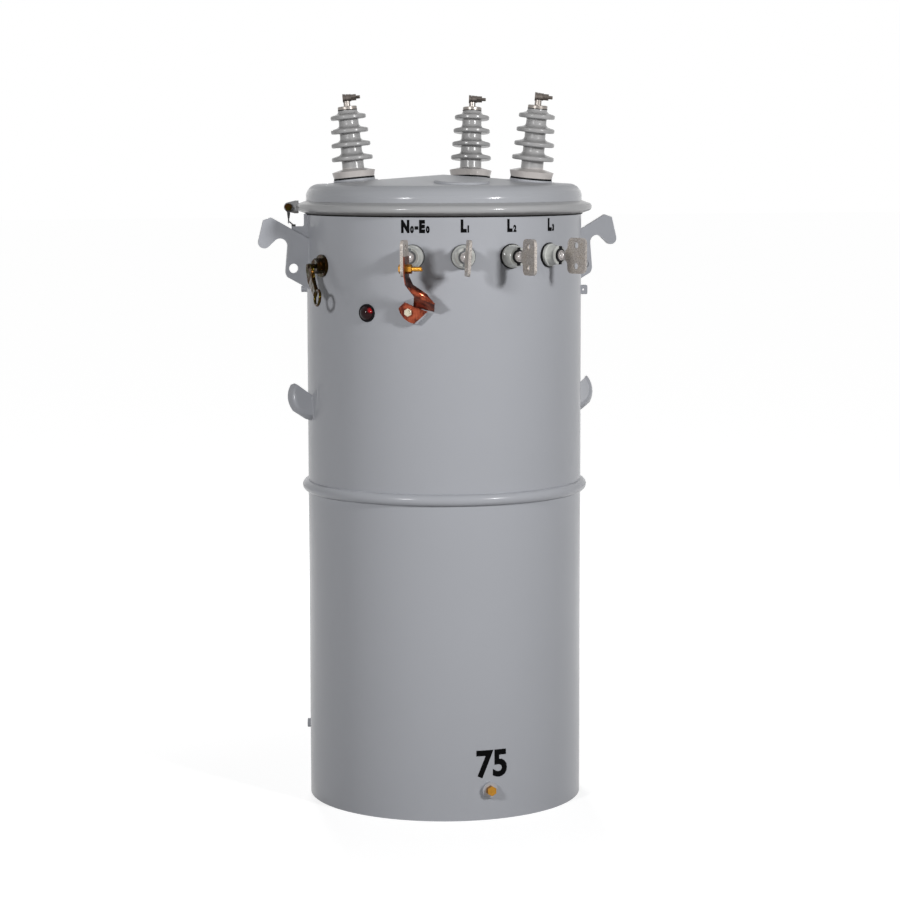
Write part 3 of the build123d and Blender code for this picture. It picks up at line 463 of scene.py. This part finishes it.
def bead_ring(ring_radius, radius, pitch):
    """Round weld bead about local Z."""
    deselect()
    bpy.ops.mesh.primitive_uv_sphere_add(
        segments=10, ring_count=6, radius=radius, location=(ring_radius, 0, 0))
    bead = bpy.context.object
    bead.scale = (0.9, 1.25, 0.9)
    bpy.ops.object.transform_apply()
    bpy.ops.object.mode_set(mode="EDIT")
    bpy.ops.mesh.select_all(action="SELECT")
    count = ceil(2 * pi * ring_radius / pitch)
    bpy.ops.mesh.spin(
        steps=count, angle=2 * pi, dupli=True, center=(0, 0, 0), axis=(0, 0, 1))
    bpy.ops.object.mode_set(mode="OBJECT")
    return bead


# ---- Painted marks ----------------------------------------------------------------------
STRIP = 3 * MM                         # marks are cut this fine, to follow the wall
CAPITAL_SHARE = 0.73                   # height of a capital of the typeface, to its size
LETTER, DIGIT, DASH = (29.5 * MM, 0.7), (16 * MM, 0.75), (29.5 * MM, 0.36)
RATING = (64 * MM, 0.92)
SPACE = 1.6 * MM


def flat_characters(words, tall, narrow, swell):
    """Flat mesh of some characters that stand on local Y = 0 and start at X = 0.

    The outline is swollen to make them bold; tall counts it in.
    """
    deselect()
    bpy.ops.object.text_add()
    text = bpy.context.object.data
    text.body = words
    text.size = (tall - 2 * swell) / CAPITAL_SHARE
    text.offset = swell
    text.resolution_u = 4
    bpy.ops.object.convert(target="MESH")
    flat = bpy.context.object
    flat.scale = (narrow, 1.0, 1.0)
    bpy.ops.object.transform_apply()
    low = min(vertex.co.x for vertex in flat.data.vertices)
    bpy.ops.object.mode_set(mode="EDIT")
    bpy.ops.mesh.select_all(action="SELECT")
    bpy.ops.transform.translate(value=(-low, swell, 0))
    bpy.ops.object.mode_set(mode="OBJECT")
    return flat


def painted_mark(name, parts, azimuth, height):
    """Stencilled characters on the round wall; azimuth and height are their middle.

    Each part is its characters, their height and how far they are narrowed; all stand on
    one line.
    """
    flats = []
    reach = 0.0
    for words, tall, narrow in parts:
        flat = flat_characters(words, tall, narrow, min(tall * 0.085, 2.6 * MM))
        flat.location.x = reach
        reach += flat.dimensions.x + SPACE
        flats.append(flat)
    deselect()
    for flat in flats:
        flat.select_set(True)
    bpy.context.view_layer.objects.active = flats[0]
    if len(flats) > 1:
        bpy.ops.object.join()
    mark = bpy.context.object
    tallest = max(tall for words, tall, narrow in parts)
    mark.location = (-reach / 2, -tallest / 2, 0)
    bpy.ops.object.transform_apply()
    cut_in_strips(mark, STRIP)
    mark.matrix_world = wall_place(azimuth, height, out=20 * MM)
    wrap = mark.modifiers.new("on the wall", "SHRINKWRAP")
    wrap.target = frame["nodes"]["tank_shell"]
    wrap.wrap_method = "PROJECT"
    wrap.wrap_mode = "ABOVE_SURFACE"
    wrap.use_project_z = True
    wrap.use_negative_direction = True
    wrap.use_positive_direction = False
    wrap.offset = PAINT_LIFT
    apply_modifiers(mark)
    settle(mark, Matrix.Identity(4), name, BLACK_PAINT, smooth=0)


def cut_in_strips(flat, wide):
    """Cut a flat mesh across local X, so that it can follow a round wall."""
    bpy.context.view_layer.objects.active = flat
    low = min(corner[0] for corner in flat.bound_box)
    high = max(corner[0] for corner in flat.bound_box)
    bpy.ops.object.mode_set(mode="EDIT")
    for index in range(1, int((high - low) / wide) + 1):
        bpy.ops.mesh.select_all(action="SELECT")
        bpy.ops.mesh.bisect(plane_co=(low + wide * index, 0, 0), plane_no=(1, 0, 0))
    bpy.ops.object.mode_set(mode="OBJECT")


def make_marks():
    """Plain terminal marks above the low voltage bushings and a plain rating number."""
    dash = "\u2013"
    neutral = [("N", *LETTER), ("0", *DIGIT), (dash, *DASH), ("E", *LETTER), ("0", *DIGIT)]
    painted_mark("terminal_mark_neutral", neutral, -27.3, 1284 * MM)
    for number, azimuth in ((1, -7.5), (2, 12.4), (3, 33.1)):
        parts = [("L", *LETTER), (str(number), *DIGIT)]
        painted_mark(f"terminal_mark_{number}", parts, azimuth, 1285 * MM)
    painted_mark("rating_number", [("75", *RATING)], 3.6, 126 * MM)


# ---- Welds ------------------------------------------------------------------------------
LUG_AZIMUTH, LUG_BEAD_OUT = 94.0, 5.6 * MM
CHANNEL_HALF = 52.2 * MM               # half the width across a pole support lug
TAB_AZIMUTH, TAB_BEAD_OUT = 79.0, 5.2 * MM
CLEAT_AZIMUTH, CLEAT_LEAN = 86.8, 8.8
SEAM_AZIMUTH = 158.0
RING_BEAD_R, RING_RIPPLE = 1.9 * MM, 3 * MM
RING_WELDS = [                         # name, azimuth, height and radius in millimetres
    ("ground_pad_weld", 2.2, 67.5, 17.6),
    ("side_boss_weld", -112.0, 1135.0, 7.8),
    ("drain_boss_weld", -110.0, 147.0, 10.6),
]


def wall_weld(name, azimuth, low, high, aside):
    """Upright bead where a radial plate meets the wall, beside one of its faces."""
    place = wall_place(azimuth, low, aside=aside)
    settle(bead_run(high - low), place, name, ENAMEL, smooth=60)


def make_welds():
    for side, turn in SIDES:
        for face, aside in (("front", -LUG_BEAD_OUT), ("back", LUG_BEAD_OUT)):
            name = f"lug_weld_{side}_{face}"
            wall_weld(name, turn * LUG_AZIMUTH, 1142 * MM, 1249 * MM, turn * aside)
    channel = degrees(asin(CHANNEL_HALF / TANK_R))
    for level in ("lower", "upper"):
        low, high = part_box(f"support_lug_{level}")
        for side, turn in SIDES:
            name = f"support_weld_{level}_{side}"
            wall_weld(name, 180 - turn * channel, low.z + 2 * MM, high.z - 2 * MM, 0)
    for face, aside in (("front", -TAB_BEAD_OUT), ("back", TAB_BEAD_OUT)):
        wall_weld(f"side_tab_weld_{face}", TAB_AZIMUTH, 1124 * MM, 1141 * MM, aside)
    for side, turn in SIDES:
        foot = wall_place(turn * CLEAT_AZIMUTH, 856 * MM)
        foot = foot @ Matrix.Rotation(radians(-turn * CLEAT_LEAN), 4, "Z")
        bead = bead_run(51 * MM, 3.2 * MM, 5 * MM)
        settle(bead, foot, f"cleat_weld_{side}", ENAMEL, smooth=60)
    wall_weld("bond_tab_weld", -94.6, 1246 * MM, 1302 * MM, 0)
    wall_weld("seam_weld", SEAM_AZIMUTH, 8 * MM, 686 * MM, 0)
    wall_weld("seam_weld_upper", SEAM_AZIMUTH, 715 * MM, 1305 * MM, 0)
    for name, azimuth, height, radius in RING_WELDS:
        place = wall_place(azimuth, height * MM)
        ring = bead_ring(radius * MM, RING_BEAD_R, RING_RIPPLE)
        settle(ring, place, name, ENAMEL, smooth=60)


# ---- Threads and small fittings ---------------------------------------------------------
def make_threads():
    """Rolled threads on the tails of the bolts and on the clamp screws."""
    neutral = middle("lv_porcelain_0")
    azimuth = azimuth_of(neutral)
    strap = sideways(wall_place(azimuth, neutral.z - 22.225 * MM, out=77 * MM))
    tail = thread(4.75 * MM, 2.0 * MM, 16.6 * MM, 36.6 * MM)
    settle(tail, strap, "strap_bolt_thread", BRASS)
    foot = wall_place(azimuth, 1103 * MM, aside=-5 * MM)
    tail = thread(4.6 * MM, 1.6 * MM, 26.2 * MM, 28.6 * MM)
    settle(tail, foot, "strap_stud_thread", TINNED_BRASS)
    for number in BUSHINGS:
        place = sideways(bushing_place(number, CLAMP_Z, CLAMP_AZIMUTH))
        tail = thread(3.5 * MM, 1.5 * MM, 22.2 * MM, 29.2 * MM)
        settle(tail, place, f"clamp_thread_{number}", CLAMP_METAL)


def squeeze(share):
    """Flatten the active round seal and push out its outer side, as pressed rubber goes."""
    bpy.ops.object.mode_set(mode="EDIT")
    bpy.ops.mesh.select_all(action="SELECT")
    bpy.ops.transform.resize(value=(1, 1, 0.9))
    choose_faces(lambda at, normal: at.x * normal.x + at.y * normal.y > 0 and abs(normal.z) < 0.5)
    bpy.ops.transform.resize(value=(1 + share, 1 + share, 1))
    bpy.ops.object.mode_set(mode="OBJECT")


def make_cap_seals():
    """Thin black seal between each porcelain and its cap."""
    for number in BUSHINGS:
        deselect()
        bpy.ops.mesh.primitive_torus_add(
            major_radius=21.0 * MM, minor_radius=0.9 * MM, major_segments=64, minor_segments=10)
        seal = bpy.context.object
        squeeze(0.006)
        settle(seal, bushing_place(number, CAP_Z), f"cap_seal_{number}", RUBBER)


def make_rim_seal():
    """Black ring under the band's lower edge: painted shade, a dark piece put where the gap
    between the band and the wall lies in shadow.
    """
    low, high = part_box("cover_band")
    deselect()
    # Painted shade: this black ring stands for the shadowed gap under the band.
    bpy.ops.mesh.primitive_torus_add(
        major_radius=TANK_R + 1.2 * MM, minor_radius=1.5 * MM,
        major_segments=192, minor_segments=8)
    seal = bpy.context.object
    squeeze(0.0015)
    place = Matrix.Translation((0, 0, low.z - 0.8 * MM))
    settle(seal, place, "band_gap_painted_shade", RUBBER)


def make_gland_pin():
    """Cotter pin that keeps the breaker gland's nuts from turning."""
    gland = middle("breaker_gland")
    place = wall_place(azimuth_of(gland), gland.z, aside=-13 * MM, out=18 * MM)
    deselect()
    bpy.ops.mesh.primitive_cylinder_add(vertices=16, radius=1.7 * MM, depth=9 * MM)
    pin = bpy.context.object
    bpy.ops.object.mode_set(mode="EDIT")
    choose_faces(lambda at, normal: normal.z > 0.5)
    bpy.ops.mesh.bevel(offset=0.8 * MM, segments=3)
    bpy.ops.object.mode_set(mode="OBJECT")
    tilt = Matrix.Rotation(radians(60), 4, "Y") @ Matrix.Rotation(radians(-65), 4, "X")
    settle(pin, place @ tilt, "gland_pin", ZINC)


# ---- Camera, light and floor ------------------------------------------------------------
CAMERA_AZIMUTH, CAMERA_AWAY, CAMERA_HEIGHT = -16.0, 5.8361, 1.4439
CAMERA_HEADING, CAMERA_DROP, CAMERA_ROLL = -16.124, 0.11426, -0.00205
CAMERA_LENS = 104.624
LAMPS = [             # name, azimuth, elevation, distance, size, watts, seen in gloss
    ("left_lamp", -47.5, 18.8, 4.6, 0.5, 83, True),
    ("right_lamp", 25.5, 20, 4.4, 0.5, 110, True),
    ("back_lamp", 172, 26, 4.5, 1.1, 120, False),
]
WORLD_LEVEL = 0.05    # light from all round; the world still looks white


def set_camera():
    """Stands about 6 metres off, a little left of the front, level with the cover."""
    bpy.ops.object.camera_add()
    camera = bpy.context.object
    camera.data.sensor_width = 36.0
    camera.data.lens = CAMERA_LENS
    around = radians(CAMERA_AZIMUTH)
    place = Matrix.Translation(
        (CAMERA_AWAY * sin(around), -CAMERA_AWAY * cos(around), CAMERA_HEIGHT))
    aim = Euler((pi / 2 - CAMERA_DROP, 0, radians(CAMERA_HEADING))).to_matrix().to_4x4()
    camera.matrix_world = place @ aim @ Matrix.Rotation(CAMERA_ROLL, 4, "Z")
    bpy.context.scene.camera = camera
    bpy.context.scene.view_settings.view_transform = "Standard"


def add_lamp(name, azimuth, elevation, distance, size, power, mirrored):
    """Square soft lamp that faces the middle of the tank; gloss shows it where mirrored."""
    target = Vector((0, 0, 0.75))
    ray = Vector((sin(radians(azimuth)) * cos(radians(elevation)),
                  -cos(radians(azimuth)) * cos(radians(elevation)),
                  sin(radians(elevation))))
    bpy.ops.object.light_add(type="AREA", location=target + ray * distance)
    lamp = bpy.context.object
    lamp.name = name
    lamp.rotation_euler = ray.to_track_quat("Z", "Y").to_euler()
    lamp.data.shape = "SQUARE"
    lamp.data.size = size
    lamp.data.energy = power
    lamp.visible_glossy = mirrored


def light_scene():
    for lamp in LAMPS:
        add_lamp(*lamp)
    world = bpy.data.worlds.new("studio")
    world.use_nodes = True
    sky = Nodes(world.node_tree)
    glow = sky.tree.nodes["Background"]
    strength = sky.looked_at() * (1 - WORLD_LEVEL) + WORLD_LEVEL
    sky.link(strength, glow.inputs["Strength"])
    sky.link((1, 1, 1, 1), glow.inputs["Color"])
    bpy.context.scene.world = world


def make_stage():
    """Pale floor that reads white and keeps the shadow close to the tank."""
    deselect()
    bpy.ops.mesh.primitive_plane_add(size=60, location=(0, 20, 0))
    floor = bpy.context.object
    floor.name = "studio_floor"
    bpy.ops.object.transform_apply()
    pale = Finish("pale_floor", (0.4, 0.4, 0.4), 0.9)
    pale.set("Specular IOR Level", 0.0)
    pale.set("Emission Strength", pale.looked_at() * 0.97)
    beyond = pale.off_axis().within(0.4, 2.5)
    pale.set("Emission Color", pale.mix(beyond, (0.78, 0.78, 0.78), (1, 1, 1)))
    floor.data.materials.append(pale.material)


# ---- Building the scene -----------------------------------------------------------------
ENAMEL = make_enamel()
RUBBER = make_rubber()
BLACK_PAINT = make_black_paint()
CAP_METAL = make_cap("tinned_cap", (0.27, 0.245, 0.225))
CLAMP_METAL = make_cap("tinned_clamp", (0.13, 0.112, 0.10))
ZINC = make_zinc()
BRASS = make_brass("yellow_brass", (0.42, 0.20, 0.03))
TINNED_BRASS = make_brass("tinned_brass", (0.50, 0.46, 0.36))
SLOT_FINISHES = {
    "tank_paint": ENAMEL,
    "rubber_black": RUBBER,
    "yellow_zinc": ZINC,
    "black_lead": make_plain("black_lead", (0.02, 0.02, 0.021), 0.45),
    "copper": make_copper(),
    "brass": BRASS,
    "tinned_brass": TINNED_BRASS,
    "dark_bezel": RUBBER,
    "red_lens": make_lens(),
    "gray_porcelain": make_porcelain(),
    "cap_metal": CAP_METAL,
    "tinned_spade": make_casting(),
}
# Pieces whose finish differs from that of their slot
NODE_FINISHES = {
    "lv_gaskets": make_wall_gaskets(),
    "cover": make_cover_enamel(),
    "cover_band": make_band_enamel(),
}
NODE_FINISHES.update(dict.fromkeys([f"lv_porcelain_{n}" for n in range(4)], make_glaze_on_wall()))
NODE_FINISHES.update({f"hv_clamp_{n}": CLAMP_METAL for n in BUSHINGS})


def dress_nodes():
    """Give each piece of the frame its finish."""
    slots = {part["node"]: part["material_slot"] for part in frame["record"]["subparts"]}
    for name, node in frame["nodes"].items():
        finish = NODE_FINISHES.get(name) or SLOT_FINISHES[slots[name]]
        for slot in node.material_slots:
            slot.material = finish.material


dress_nodes()
make_marks()
make_welds()
make_threads()
make_cap_seals()
make_rim_seal()
make_gland_pin()
set_camera()
light_scene()
make_stage()
